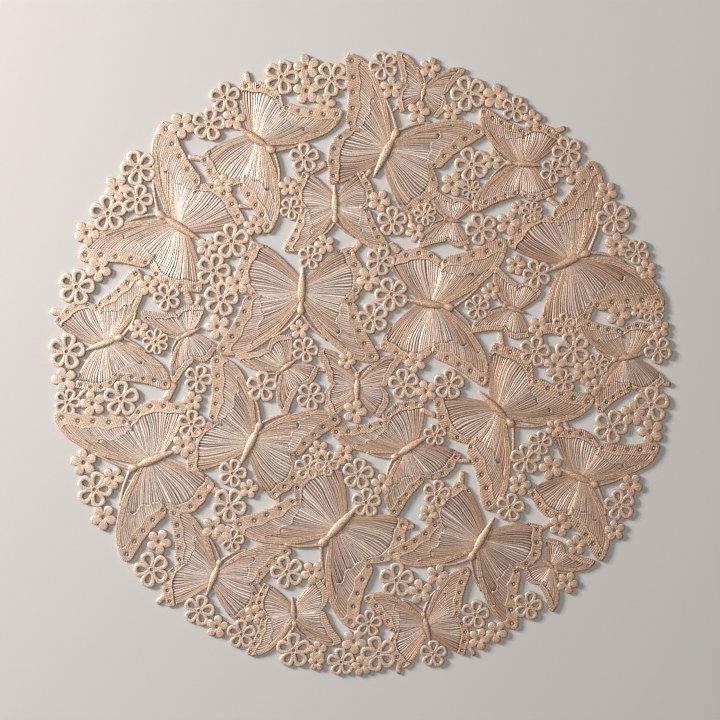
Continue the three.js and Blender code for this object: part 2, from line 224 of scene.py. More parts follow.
# Flowers with whole petals, in the same columns
WHOLE_FLOWERS = [
    [-109, 145.5, 17, 54], [-148.5, 107, 17, 65], [-167, 79.5, 16.5, 62], [-93.5, 71, 13.5, 65],
    [-83, 109.5, 13, 22], [-44, 108, 12.5, 23], [-65, 84, 13, 26], [-74.5, 49, 16, 20],
    [-87, 22, 16.5, 35], [-21.5, 72.5, 13, 35], [12, 99, 14.5, 65], [5.5, 51.5, 16, 54],
    [-37, 20.5, 12.5, 18], [57, 109.5, 16, 0], [34, 80, 12.5, 43], [91, 85.5, 16, 0],
    [97, 95, 10, 8], [95.5, 60, 13, 5], [80, 43.5, 12, 23], [105.5, 149, 12.5, 18],
    [83, 163, 16.5, 8], [131.5, 116, 15, 22], [151, 104.5, 14, 55], [157.5, 72, 16, 18],
    [175.5, 57, 13, 32], [-160, 57.5, 16.5, 54], [-181, -10.5, 16.5, 35], [-163.5, -25, 16.5, 33],
    [-129.5, 47.5, 13.5, 23], [-135.5, 20.5, 13, 23], [-102.5, -23.5, 13, 25], [-8, 1.5, 11.5, 60],
    [-3, -30, 15.5, 0], [-68, -77, 12.5, 6], [-25, -53, 12.5, 40], [-10, -56, 13.5, 43],
    [13.5, -74.5, 14, 18], [34, 0.5, 14, 44], [40.5, -17.5, 14.5, 36], [98, -74.5, 14.5, 0],
    [109.5, 22, 13.5, 58], [119.5, -1.5, 15.5, 18], [137, -6, 15.5, 60], [142.5, -15, 11.5, 70],
    [158.5, 29.5, 15.5, 68], [170.5, 32, 10, 70], [183.5, 21, 12.5, 30], [167, -31, 16, 15],
    [178, -42, 16.5, 36], [119, -40, 11.5, 60], [-169, -61, 17, 25], [-151, -70.5, 14.5, 63],
    [-157, -94.5, 16.5, 54], [-123, -109.5, 16, 63], [-108, -51, 15.5, 64], [-89.5, -101, 15.5, 70],
    [-84, -104.5, 13, 40], [-29, -128.5, 15, 52], [-64.5, -154, 13, 3], [-87.5, -161.5, 14.5, 8],
    [-3.5, -170.5, 16, 60], [1, -185.5, 13, 33], [42, -92.5, 13, 60], [37, -140, 16, 28],
    [47.5, -130, 14.5, 0], [73, -169, 14, 70], [83.5, -164.5, 14, 55], [117, -64, 15.5, 36],
    [166, -74.5, 14.5, 52], [156, -102.5, 13, 25], [122.5, -99.5, 14.5, 0], [132.5, -111.5, 13, 18],
    [127, -134.5, 14, 64], [19.5, 168.5, 14.5, 18], [43, 180.5, 13.5, 0], [36, 153.5, 14.5, 3],
    [56.5, 154, 12, 3], [81.5, 124, 12.5, 15], [-32.5, 181, 16.5, 30], [-32.5, 166.5, 17, 23],
    [-21.5, 159, 14, 0], [-77, 149.5, 15, 8], [-26, -176, 12.5, 18], [-26.5, -183.5, 10.5, 18],
]

# Small flowers with narrow pierced petals, in the same columns
SLIT_FLOWERS = [
    [68.5, 106, 13, 0], [40, 91, 14.5, 18], [105.5, 92.5, 13.5, 18], [-125, 13, 16.5, 23],
    [145.5, -1, 14.5, 18], [179.5, 31.5, 14.5, 18],
]

# Links: x and y of one end, x and y of the other end, width
LINKS = [
    [-104, 126, -96.5, 125, 3.5], [-73.5, 96, -65, 96, 3], [-67.5, 170.5, -69.5, 177, 3.5],
    [-29.5, 117.5, -21.5, 122, 4.5], [-39, 116.5, -36.5, 113, 3], [24, 157.5, 20.5, 154.5, 2],
    [2.5, 113, 6.5, 118, 3], [-68, 77, -64.5, 70.5, 3.5], [0, 73.5, -5, 68, 4.5],
    [19, 72.5, 23.5, 68.5, 4.5], [31, 92.5, 31, 83, 3.5], [115.5, 100.5, 121, 96.5, 3.5],
    [119, 141.5, 124.5, 143.5, 3.5], [-107, 44.5, -103.5, 36.5, 4], [-101.5, 33, -98, 40, 3],
    [-181.5, 31, -188, 31.5, 4.5], [-114, -13, -118.5, -22, 5], [-27, -4.5, -21.5, -4.5, 2],
    [-50.5, -79, -50.5, -86.5, 3.5], [60, -60, 66.5, -60, 3], [62, -75, 62.5, -67.5, 3.5],
    [38.5, -29, 45.5, -32, 3.5], [7.5, 8.5, 17, 10, 3.5], [86, 18, 87.5, 9.5, 3.5],
    [13.5, -30, 15.5, -36.5, 2], [182, -11.5, 189, -13, 3.5], [-92.5, -76, -85.5, -79.5, 5],
    [-62.5, -135.5, -60, -139, 2.5], [-21.5, -132.5, -24, -136.5, 2.5], [26.5, -101.5, 32.5, -100, 3.5],
    [96.5, -125.5, 100.5, -125.5, 3], [111, -102, 116.5, -98.5, 3], [125, -35.5, 127, -40, 3.5],
    [-119.5, -143, -123.5, -146.5, 3.5], [24, -183, 23.5, -189, 3], [66, -173, 69.5, -178, 3],
    [-5, 38.5, -2, 41.5, 4.5], [64, 73.5, 65.5, 70, 3], [-168, -16.5, -173, -21.5, 2.5],
    [-146, -71, -138, -73, 2],
]


def smooth_step(x, low, high):
    t = np.clip((x - low) / (high - low), 0, 1)
    return t * t * (3 - 2 * t)


def rounded_drop(distance, radius):
    """How far an edge of this radius lies below the face, at a distance from the edge."""
    inside = np.clip(distance / radius, 0, 1)
    return radius * (1 - np.sqrt(inside * (2 - inside)))


def ridge(distance, middle, width):
    """A soft ridge of height 1, at a distance from an edge."""
    return np.exp(-(((distance - middle) / width) ** 2))


def raised_lip(distance):
    """A fine cord along an edge, at a distance from it."""
    return LIP_HEIGHT * ridge(distance, LIP_INSET, 0.35)


def unit(vectors):
    return vectors / np.linalg.norm(vectors, axis=-1, keepdims=True)


def sideways(path):
    """The direction to the left of a path at each of its points."""
    heading = unit(np.gradient(path, axis=0))
    return np.stack([-heading[:, 1], heading[:, 0]], axis=1)


def smooth_curve(points):
    """A smooth curve through the points: the place at each share of its length, and its length."""
    points = np.asarray(points, float)
    ends = np.vstack([2 * points[0] - points[1], points, 2 * points[-1] - points[-2]])
    t = np.linspace(0, 1, 12, endpoint=False)[:, None]
    spans = [
        0.5 * (2 * b + (c - a) * t + (2 * a - 5 * b + 4 * c - d) * t**2 + (3 * b - a - 3 * c + d) * t**3)
        for a, b, c, d in zip(ends, ends[1:], ends[2:], ends[3:])
    ]
    dense = np.vstack(spans + [points[-1:]])
    run = np.concatenate([[0], np.cumsum(np.linalg.norm(np.diff(dense, axis=0), axis=1))])

    def place(share):
        at = np.clip(share, 0, 1) * run[-1]
        return np.stack([np.interp(at, run, dense[:, k]) for k in range(dense.shape[1])], axis=-1)

    return place, run[-1]


class Wing:
    """A wing's plan: a place for each share u across its veins and v along them, from root to margin."""

    def __init__(self, root, axes, edges, lobes):
        curves = {name: smooth_curve(root + np.array(rows) @ axes) for name, rows in edges.items()}
        self.lead, self.length = curves["lead"]
        self.trail, _ = curves["trail"]
        self.inner, _ = curves["inner"]
        self.margin, self.margin_length = curves["margin"]
        self.lobes = lobes
        self.lobe_depth = 0.0003 * self.margin_length**2

    def place(self, u, v):
        u = np.clip(u, 0, 1)
        v = np.clip(v, 0, 1)
        top = self.margin(u)
        outward = unit(top - self.inner(u))
        swell = np.abs(np.sin(math.pi * self.lobes * u)) - 0.7
        swell = self.lobe_depth * swell * np.sin(math.pi * u) ** 0.5
        top = top + outward * swell[..., None]
        u = u[..., None]
        v = v[..., None]
        corners = (
            (1 - u) * (1 - v) * self.lead(0) + u * (1 - v) * self.trail(0)
            + (1 - u) * v * self.margin(0) + u * v * self.margin(1)
        )
        across = (1 - u) * self.lead(v[..., 0]) + u * self.trail(v[..., 0])
        return across + (1 - v) * self.inner(u[..., 0]) + v * top - corners

    def reach(self, u):
        """The length of the vein line at u."""
        v = np.linspace(0, 1, 24)
        line = self.place(np.repeat(u[:, None], len(v), axis=1), np.repeat(v[None], len(u), axis=0))
        return np.linalg.norm(np.diff(line, axis=1), axis=-1).sum(axis=1)


def new_shape():
    shape = bmesh.new()
    shape.verts.layers.float_vector.new("tone")
    shape.verts.layers.float_vector.new("grain")
    return shape


def lay_grid(shape, places, tone, grain):
    """A grid of quads in the shape, put where the rows and columns of places say."""
    rows, columns = places.shape[:2]
    made = bmesh.ops.create_grid(shape, x_segments=columns - 1, y_segments=rows - 1, size=0.5)["verts"]
    tone_layer = shape.verts.layers.float_vector["tone"]
    grain_layer = shape.verts.layers.float_vector["grain"]
    spots = (places * MM).reshape(-1, 3).tolist()
    tones = np.broadcast_to(tone, places.shape).reshape(-1, 3).tolist()
    grains = np.broadcast_to(grain, places.shape).reshape(-1, 3).tolist()
    for vertex, spot, own_tone, own_grain in zip(made, spots, tones, grains):
        vertex.co = spot
        vertex[tone_layer] = own_tone
        vertex[grain_layer] = own_grain
    return made


def stand_on_floor(shape, made):
    """Walls from the open edges of a grid down to the floor, and a flat underside."""
    rim = [e for e in {e for v in made for e in v.link_edges} if e.is_boundary]
    grown = bmesh.ops.extrude_edge_only(shape, edges=rim)["geom"]
    for vertex in (g for g in grown if isinstance(g, bmesh.types.BMVert)):
        vertex.co.z = 0
    foot = [g for g in grown if isinstance(g, bmesh.types.BMEdge) and g.is_boundary]
    for edge in foot:
        edge.smooth = False
    bmesh.ops.holes_fill(shape, edges=foot, sides=0)


def add_patch(shape, plan, height, tone, across, along, hatch=0.0):
    """A closed shell over a plan, with its grain and how strongly it is hatched along the grain."""
    places = np.concatenate([plan, np.maximum(height, LEAST_HEIGHT)[..., None]], axis=-1)
    across, along, hatch = np.broadcast_arrays(across, along, hatch)
    grain = np.stack([across, along, hatch], axis=-1)
    stand_on_floor(shape, lay_grid(shape, places, tone, grain))


def add_bar(shape, path, half_widths, rises, base, tone, around):
    """A rounded bar along a path, flat underneath, that rises above its base."""
    path = np.asarray(path, float)
    angle = np.linspace(0, math.pi, around + 1)
    to_side = -np.cos(angle) * np.asarray(half_widths)[:, None]
    bulge = np.sin(angle) ** 0.8
    plan = path[:, None, :] + sideways(path)[:, None, :] * to_side[..., None]
    height = np.where(bulge > 0.01, base + np.asarray(rises)[:, None] * bulge, 0.8 * base)
    run = np.concatenate([[0], np.cumsum(np.linalg.norm(np.diff(path, axis=0), axis=1))])
    add_patch(shape, plan, height, tone, to_side, run[:, None])


# A vertex's tone: its painted sheen, its painted shade in grooves and hollows, and how coarse its grain is
def tones(painted_sheen, groove=0.0, coarse=1.0):
    painted_sheen, groove, coarse = np.broadcast_arrays(painted_sheen, groove, coarse)
    return np.stack([painted_sheen, groove, coarse], axis=-1)


def spacing(plan):
    """How far apart the columns of a plan are, square to their run."""
    step = np.gradient(plan, axis=1)
    run = np.gradient(plan, axis=0)
    run /= np.linalg.norm(run, axis=-1, keepdims=True) + 1e-9
    return np.abs(step[..., 0] * run[..., 1] - step[..., 1] * run[..., 0])


def border_width(wing, u, hind):
    """The border's width along a margin: a hind wing's narrows at both ends, a fore wing's at its last."""
    if hind:
        arch = 1.06 - 0.12 * np.abs(np.sin(math.pi * 5 * u))
        middle = np.sin(math.pi * np.clip(u, 0.02, 0.98)) ** 0.45
        return 0.14 * wing.margin_length * (0.3 + 0.7 * middle) * arch
    arch = 1.1 - 0.2 * np.abs(np.sin(math.pi * 3 * u + 0.3))
    return 0.145 * wing.length * (1.1 - 0.45 * u**1.5) * arch


def mid_band_width(wing, u):
    arches = 1.15 - 0.32 * np.sqrt(np.sin(math.pi * 3.5 * u + 0.4) ** 2 + 0.02)
    return MID_BAND_SHARE * wing.length * np.clip(0.98 - u, 0, 1) ** 0.7 * arches


def vein_columns(wing, draws):
    """The number of veins in a field, and where its columns lie across it, unevenly spaced."""
    vein_pitch = VEIN_PITCH * np.clip(wing.margin_length / 45, 0.75, 1)
    veins = max(6, round(0.9 * wing.margin_length / vein_pitch))
    grooves = np.linspace(0, 1, veins + 1)
    grooves[1:-1] += draws.uniform(-0.3, 0.3, veins - 1) / veins
    at = np.arange(veins * COLUMNS_PER_VEIN + 1) / COLUMNS_PER_VEIN
    return veins, np.interp(at, np.arange(veins + 1), grooves)


def add_field(shape, wing, level, width, painted_sheen_at, strength, draws):
    """The lowest face of a wing, pressed into long veins that fan out from the root."""
    veins, u = vein_columns(wing, draws)
    reach = wing.reach(u)
    last = 1 - np.maximum(width(u) - FIELD_UNDERLAP, 0.5) / reach
    rows = max(6, math.ceil(reach.mean() / FIELD_ROW))
    v = np.linspace(0, 1, rows + 1)[:, None] ** 0.9 * last
    wander = 0.4 * np.sin(6 * v + 7 * u + draws.uniform(0, 6)) + 0.12 * np.sin(13 * v - 15 * u)
    wander = (wander / veins + VEIN_BOW * np.sin(math.pi * v)) * np.sin(math.pi * u)
    plan = wing.place(np.broadcast_to(u, v.shape) + wander, v)
    pitch = spacing(plan) * COLUMNS_PER_VEIN

    vein = np.arange(len(u)) // COLUMNS_PER_VEIN
    column = np.arange(len(u)) % COLUMNS_PER_VEIN
    swell = 0.7 + 0.3 * np.sin(0.6 * np.arange(veins + 1) + draws.uniform(0, 6))
    depth = (draws.uniform(0.4, 1.1, veins + 1) * swell)[vein]
    main = draws.integers(3, 5)
    is_main = (vein % main == 0) & (column == 0)
    beside_main = np.roll(is_main, 1) | np.roll(is_main, -1)
    depth = np.where(vein % main == 0, 1.0, depth)
    ripple = 0.8 + 0.2 * np.sin(2.1 * vein + 5 * v)

    steepest = STEEPEST_CUT * pitch
    limit = np.minimum(VEIN_DEPTH, steepest * np.where(is_main, MAIN_VEIN_WIDTH, 1))
    cut = limit * depth * ripple * VEIN_CUT[column] + 0.3 * np.clip(limit - steepest, 0, None) * beside_main
    crown = 0.12 * (column == 2) * draws.uniform(0, 1, len(u)) * np.minimum(1, pitch)
    height = level - cut + crown - rounded_drop((1 - u) * 0.25 * reach.mean(), EDGE_ROUND)

    # Painted highlight on the vein ridges and painted shade in the grooves; where the veins crowd together
    # the shade fades and the highlight evens out
    open_enough = smooth_step(pitch, 0.3, 1.2)
    shine = draws.uniform(0.5, 1.1, veins + 1)[vein] * (0.6 + open_enough * (VEIN_PAINTED_HIGHLIGHT[column] - 0.6))
    painted_sheen = strength * painted_sheen_at(u) * shine
    groove = np.clip(0.35 + 0.75 * depth * ripple, 0, 1) * VEIN_PAINTED_SHADE[column] * open_enough
    add_patch(shape, plan, height, tones(painted_sheen, groove, 0.25), u * wing.margin_length, v * reach)


def stud_columns(cells):
    """Columns across the cells of a border, close together round the middle of each."""
    t = np.linspace(0, 1, COLUMNS_PER_STUD, endpoint=False)
    warped = t + 0.62 * np.sin(2 * math.pi * t) / (2 * math.pi)
    return np.append((np.arange(cells)[:, None] + warped).ravel(), cells) / cells


def add_border(shape, wing, level, width_at, cells, strength, beaded, draws):
    """The raised band along a wing's margin: beaded on a small wing, with a row of studs on a large one."""
    u = stud_columns(cells)
    if beaded:
        u = np.linspace(0, 1, max(12, round(wing.margin_length / BEAD_PITCH * 3)))
    reach = wing.reach(u)
    width = width_at(u)
    inward = BORDER_ROWS[:, None] * width
    to_field = width - inward
    v = 1 - inward / reach
    plan = wing.place(np.broadcast_to(u, v.shape), v)
    to_side = np.minimum(u, 1 - u) * wing.margin_length + 0 * v
    height = level - rounded_drop(inward, EDGE_ROUND) - rounded_drop(to_field, STEP_ROUND)
    height = height - rounded_drop(to_side, EDGE_ROUND)
    height = height + raised_lip(to_field) + 0.6 * raised_lip(inward)
    # Painted sheen on the border, a painted highlight on the cord near the field, and painted shade along the
    # inner edge where the border drops to the field
    painted_sheen = BORDER_PAINTED_SHEEN * strength + 0.5 * ridge(to_field, LIP_INSET, 0.3)
    groove = 0.6 * (1 - smooth_step(to_field, 0.05, 0.25))
    if beaded:
        columns = np.sin(2 * math.pi * u * wing.margin_length / BEAD_PITCH + draws.uniform(0, 1, v.shape))
        lines = np.sin(2 * math.pi * inward / BEAD_PITCH + 0.6)
        beads = np.clip(columns * lines, -1, 1) * draws.uniform(0.5, 1, v.shape)
        inside = smooth_step(inward, 0.5, 1.2) * smooth_step(to_field, 0.2, 0.8)
        height = height + BEAD_HEIGHT * beads * inside
        # Painted shade in the hollows between the beads
        groove = np.maximum(groove, 0.4 * np.clip(-beads, 0, 1) * inside)
    else:
        middles = (np.arange(cells) + 0.5) / cells
        middle_row = 1 - STUD_ROW * width_at(middles) / wing.reach(middles)
        for centre, size in zip(wing.place(middles, middle_row), width_at(middles)):
            radius = np.clip(0.14 * size, 0.8, 1.2)
            away = np.linalg.norm(plan - centre, axis=-1) / radius
            stud = 1 - smooth_step(away, 0.3, 0.6)
            ring = ridge(away, 0.75, 0.4) * (1 - stud)
            height = height - STUD_GROOVE * ring
            # Painted shade in the ring round each stud, and a painted highlight on the stud
            groove = np.maximum(groove, 0.95 * ring)
            painted_sheen = np.maximum(painted_sheen, 1.2 * stud)
    hatch = draws.uniform(0.25, 1)
    add_patch(shape, plan, height, tones(painted_sheen, groove), u * wing.margin_length, v * reach, hatch)


def add_mid_band(shape, wing, level, border, strength, draws):
    """A second, lower step inside the border of a large fore wing, wide at the leading edge."""
    lines = round(wing.margin_length / MID_LINE_PITCH)
    u = np.linspace(0, 0.96, 3 * lines + 1)
    reach = wing.reach(u)
    width = mid_band_width(wing, u) + FIELD_UNDERLAP
    to_step = MID_BAND_ROWS[:, None] * width
    inward = np.maximum(border(u) - FIELD_UNDERLAP, 0.5) + width - to_step
    v = np.clip(1 - inward / reach, 0.05, 1)
    plan = wing.place(np.broadcast_to(u, v.shape), v)
    in_groove = np.arange(len(u)) % 3 == 0
    cut = np.minimum(MID_LINE_DEPTH, 0.9 * spacing(plan)) * draws.uniform(0.4, 1, len(u)) * in_groove
    height = level - rounded_drop(to_step, STEP_ROUND) - cut + raised_lip(to_step)
    # Painted shade in the line grooves and along the foot of the step, painted sheen that is weaker towards
    # the leading edge, and a painted highlight on the cord along the step
    groove = np.maximum(0.85 * in_groove, 0.4 * (1 - smooth_step(to_step, 0.05, 0.3)))
    fading = 0.5 + 0.5 * smooth_step(u, 0.1, 0.6)
    painted_sheen = MID_BAND_PAINTED_SHEEN * strength * fading * draws.uniform(0.4, 1.1, len(u))
    painted_sheen = painted_sheen + 0.35 * ridge(to_step, LIP_INSET, 0.4) * (1 - smooth_step(u, 0.75, 0.95))
    add_patch(shape, plan, height, tones(painted_sheen, groove, 0.3), u * wing.margin_length, v * reach, 0.2)


def add_lead_band(shape, wing, level):
    """The smooth band along a fore wing's leading edge."""
    share = np.linspace(0, 0.99, 40)
    edge = wing.lead(share)
    side = sideways(edge)
    inward = wing.trail(share) - edge
    side *= np.sign(np.sum(side * inward, axis=1, keepdims=True))
    width = (0.8 + 0.048 * wing.length) * np.sin(math.pi * np.clip(share * 0.9 + 0.08, 0, 1)) ** 0.5
    width = np.minimum(width, 0.6 * np.linalg.norm(inward, axis=1))
    from_edge = LEAD_BAND_ROWS[:, None] * width
    furrows = LEAD_FURROWS[:, None]
    plan = edge + side * from_edge[..., None]
    height = level - rounded_drop(from_edge, EDGE_ROUND) - rounded_drop(width - from_edge, STEP_ROUND)
    height = height - FURROW_DEPTH * furrows
    # Painted shade in the furrows
    groove = 0.6 * furrows + 0 * share
    add_patch(shape, plan, height, tones(LEAD_BAND_TONE, groove), from_edge, share * wing.length)


def hind_painted_sheen(u):
    """A hind wing's painted sheen fades towards its trailing edge."""
    return 1 - 0.7 * smooth_step(u, 0.3, 0.85)


def fore_painted_sheen(u):
    """A fore wing's painted sheen fades towards its leading edge."""
    return 0.4 + 0.6 * smooth_step(u, 0.3, 0.8)


def add_wings(shape, row, lift, strength, draws):
    head, tail, left_fore, left_hind, right_fore, right_hind = (np.array(p, float) for p in row)
    root = head + WING_ROOT_SHARE * (tail - head)
    for fore_tip, hind_tip in ((left_fore, left_hind), (right_fore, right_hind)):
        axes = np.array([fore_tip - root, hind_tip - root, tail - root])
        large = np.linalg.norm(fore_tip - root) > LARGE_WING
        cells = 5 if large else 4
        hind = Wing(root, axes, HIND_WING, HIND_LOBES)
        fore = Wing(root, axes, FORE_WING, FORE_LOBES)
        hind_level = HIND_FIELD + lift
        fore_level = FORE_FIELD + lift

        def hind_border(u):
            return border_width(hind, u, True)

        def fore_border(u):
            return border_width(fore, u, False)

        def fore_field_edge(u):
            return fore_border(u) + (mid_band_width(fore, u) if large else 0)

        add_field(shape, hind, hind_level, hind_border, hind_painted_sheen, strength, draws)
        add_border(shape, hind, hind_level + BORDER_STEP, hind_border, cells + 1, strength, not large, draws)
        add_field(shape, fore, fore_level, fore_field_edge, fore_painted_sheen, strength, draws)
        if large:
            add_mid_band(shape, fore, fore_level + MID_BAND_STEP, fore_border, strength, draws)
        add_border(shape, fore, fore_level + BORDER_STEP, fore_border, cells, strength, not large, draws)
        add_lead_band(shape, fore, fore_level + LEAD_BAND_STEP)
        add_feeler(shape, fore, head, tail, lift)


def add_feeler(shape, fore, head, tail, lift):
    """A feeler from the head along the leading edge, which it joins further out."""
    thick = 0.35 + 0.012 * fore.length
    near = fore.lead(0.24)
    bow = near - unit(fore.trail(0.24) - near) * (1.2 + 0.035 * fore.length)
    start = head + 0.06 * (head - tail)
    path, _ = smooth_curve([start, bow, fore.lead(0.44)])
    share = np.linspace(0, 1, 14)
    taper = 1 - 0.25 * share
    rise = 0.9
    base = FEELER_HEIGHT - rise + lift
    add_bar(shape, path(share), thick * taper, rise * taper, base, BAR_TONE, around=6)


def add_body(shape, row, lift):
    head, tail = (np.array(p, float) for p in row[:2])
    width = BODY_WIDTH_LEAST + BODY_WIDTH_SHARE * np.linalg.norm(tail - head)
    shares, halves, rises = np.array(BODY_PROFILE).T
    fine = np.linspace(shares[0], shares[-1], 40)
    path = head + fine[:, None] * (tail - head)
    half = np.interp(fine, shares, halves) * width
    rise = np.interp(fine, shares, rises) * width * BODY_RISE
    add_bar(shape, path, half, rise, BODY_BASE + lift, BAR_TONE, around=14)


def add_ring(shape, outer, inner, profile, top):
    """A closed ring between two outlines, of the given profile and height, brown on its cut walls: partly the
    cut vinyl's own colour, partly painted shade round its outline.
    """
    share, rise, painted_sheen = np.array(profile, float).T[..., None]
    plan = outer + share[..., None] * (inner - outer)
    height = np.broadcast_to(rise * top, plan.shape[:2])
    places = np.concatenate([plan, height[..., None]], axis=-1)
    places = np.concatenate([places, places[:, :1]], axis=1)
    grain = places * np.array([1, 1, 0])
    lay_grid(shape, places, tones(painted_sheen, 0.75 * (rise == 0)), grain)


def petal_outline(angles, start, end, half_width, swell):
    """An egg-shaped outline along +X with its wide part towards its end."""
    middle = (start + end) / 2
    x = middle - (end - start) / 2 * np.cos(angles)
    y = half_width * np.sign(np.sin(angles)) * np.abs(np.sin(angles)) ** 0.85 * (1 - swell * np.cos(angles))
    return np.stack([x, y], axis=1)


def circle(angles, radius):
    return radius * np.stack([-np.cos(angles), np.sin(angles)], axis=1)


def open_petal(shape, around, half_width, hole_half, hole_start, hole_end):
    """A petal pierced by a drop-shaped hole, pointing along +X, for a flower of radius 1."""
    angles = np.linspace(0, 2 * math.pi, around, endpoint=False)
    outer = petal_outline(angles, 0.12, 1.0, half_width, 0.33)
    hole = petal_outline(angles, hole_start, hole_end, hole_half, 0.5)
    add_ring(shape, outer, hole, PETAL_PROFILE, FLOWER_HEIGHT)


def flower_eye(shape, radius):
    """The raised disc in the middle of a flower, with its pinhole."""
    angles = np.linspace(0, 2 * math.pi, 12, endpoint=False)
    add_ring(shape, circle(angles, radius), circle(angles, PINHOLE_RADIUS), EYE_PROFILE, EYE_HEIGHT)


def saved_mesh(shape, name):
    """The shape as a mesh, with its doubles merged and its faces outwards, to be placed many times."""
    bmesh.ops.remove_doubles(shape, verts=shape.verts, dist=MERGE)
    bmesh.ops.recalc_face_normals(shape, faces=shape.faces)
    mesh = bpy.data.meshes.new(name)
    shape.to_mesh(mesh)
    shape.free()
    return mesh


def rosette_flower(petals, petal_middle, petal_radius, waist, hole):
    """A flat flower of radius 1: round petals joined round one small hole."""
    angles = np.linspace(0, 2 * math.pi, 14 * petals, endpoint=False)
    turn = 2 * math.pi / petals
    off_petal = (angles + turn / 2) % turn - turn / 2
    room = petal_radius**2 - (petal_middle * np.sin(off_petal)) ** 2
    edge = np.where(room > 0, petal_middle * np.cos(off_petal) + np.sqrt(np.abs(room)), waist)
    ray = np.stack([np.cos(angles), np.sin(angles)], axis=1)
    flower = new_shape()
    add_ring(flower, edge[:, None] * ray, hole * ray, ROSETTE_PROFILE, FLOWER_HEIGHT)
    return saved_mesh(flower, "rosette")


def pierced_flower(petals, around, half_width, hole_half, hole_start, hole_end, eye_radius):
    """A flower of radius 1 with pierced petals, the first along +X, and an eye."""
    petal = new_shape()
    open_petal(petal, around, half_width, hole_half, hole_start, hole_end)
    petal_mesh = saved_mesh(petal, "petal")
    flower = new_shape()
    for k in range(petals):
        turned = petal_mesh.copy()
        turned.transform(Matrix.Rotation(2 * math.pi * k / petals, 4, "Z"))
        flower.from_mesh(turned)
    eye = new_shape()
    flower_eye(eye, eye_radius)
    flower.from_mesh(saved_mesh(eye, "eye"))
    mesh = bpy.data.meshes.new("pierced_flower")
    flower.to_mesh(mesh)
    flower.free()
    return mesh


def place_flower(target, template, row, lift):
    x, y, across, turn = row
    mesh = template.copy()
    scale = Matrix.Diagonal((across / 2, across / 2, (FLOWER_HEIGHT + lift) / FLOWER_HEIGHT, 1))
    spin = Matrix.Rotation(math.radians(turn), 4, "Z")
    mesh.transform(Matrix.Translation((x * MM, y * MM, 0)) @ spin @ scale)
    target.from_mesh(mesh)
    bpy.data.meshes.remove(mesh)


def join_into(target, shape):
    """Adds a finished shape, its faces outwards, to the piece that it belongs to."""
    bmesh.ops.recalc_face_normals(shape, faces=shape.faces)
    mesh = bpy.data.meshes.new("motif")
    shape.to_mesh(mesh)
    shape.free()
    target.from_mesh(mesh)
    bpy.data.meshes.remove(mesh)


def add_link(target, row):
    x1, y1, x2, y2, width = row
    start = np.array([x1, y1])
    end = np.array([x2, y2])
    overlap = unit(end - start) * 1.2
    points = 8
    path = start - overlap + np.linspace(0, 1, points)[:, None] * (end - start + 2 * overlap)
    half = np.full(points, 0.5 * width)
    half[[0, -1]] *= 0.7
    rise = 0.5
    shape = new_shape()
    add_bar(shape, path, half, np.full(points, rise), LINK_HEIGHT - rise, BAR_TONE, around=8)
    join_into(target, shape)


def add_butterfly(target, row, lift, strength, draws):
    shape = new_shape()
    add_wings(shape, row, lift, strength, draws)
    add_body(shape, row, lift)
    join_into(target, shape)


def finished_piece(name, shape, material):
    for face in shape.faces:
        face.smooth = True
    mesh = bpy.data.meshes.new(name)
    shape.to_mesh(mesh)
    shape.free()
    mesh.materials.append(material)
    piece = bpy.data.objects.new(name, mesh)
    bpy.context.scene.collection.objects.link(piece)
    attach(piece, "root")
    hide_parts("cutwork_sheet")
    return piece


class Nodes:
    """Short ways to add and join the nodes of one material."""

    def __init__(self, name):
        self.material = bpy.data.materials.new(name)
        self.material.use_nodes = True
        self.tree = self.material.node_tree
        self.shader = self.tree.nodes["Principled BSDF"]

    def add(self, kind, inputs=(), **settings):
        node = self.tree.nodes.new(kind)
        for key, value in settings.items():
            setattr(node, key, value)
        for key, value in dict(inputs).items():
            self.join(value, node.inputs[key])
        return node

    def join(self, value, socket):
        if isinstance(value, bpy.types.NodeSocket):
            self.tree.links.new(value, socket)
        else:
            socket.default_value = value

    def math(self, operation, *values):
        return self.add("ShaderNodeMath", dict(enumerate(values)), operation=operation).outputs[0]

    def parts(self, vector):
        """The X, Y and Z of a vector."""
        return self.add("ShaderNodeSeparateXYZ", {0: vector}).outputs

    def attribute(self, name):
        return self.add("ShaderNodeAttribute", attribute_name=name).outputs["Vector"]

    def noise(self, vector, scale, detail):
        return self.add("ShaderNodeTexNoise", {"Vector": vector, "Scale": scale, "Detail": detail}).outputs[0]

    def mix(self, factor, first, second):
        node = self.add("ShaderNodeMix", data_type="RGBA")
        self.join(factor, node.inputs[0])
        self.join(first, node.inputs[6])
        self.join(second, node.inputs[7])
        return node.outputs[2]

    def stretch(self, value, from_low, from_high, to_low, to_high):
        """The value, taken from one range to another."""
        inputs = {0: value, 1: from_low, 2: from_high, 3: to_low, 4: to_high}
        return self.add("ShaderNodeMapRange", inputs).outputs[0]

    def ramp(self, value, low, high):
        """0 below low and 1 above high, with a smooth rise between them."""
        inputs = {0: value, 1: low, 2: high}
        return self.add("ShaderNodeMapRange", inputs, interpolation_type="SMOOTHSTEP").outputs[0]

    def bump(self, height, strength, distance, **more):
        inputs = {"Height": height, "Strength": strength, "Distance": distance}
        if "normal" in more:
            inputs["Normal"] = more["normal"]
        return self.add("ShaderNodeBump", inputs, invert=more.get("sunk", False)).outputs[0]


# Colours of the foil, of its painted sheen and of the painted shade in its grooves, in linear light
TAN = (0.37, 0.197, 0.108, 1)
PALE_TAN = (0.44, 0.252, 0.148, 1)
PAINTED_SHEEN_ROSE = (0.885, 0.815, 0.76, 1)
BRIGHT_SPECK = (0.90, 0.68, 0.51, 1)
DARK_PIT = (0.22, 0.13, 0.08, 1)
PAINTED_GROOVE_SHADE = (0.075, 0.03, 0.016, 1)


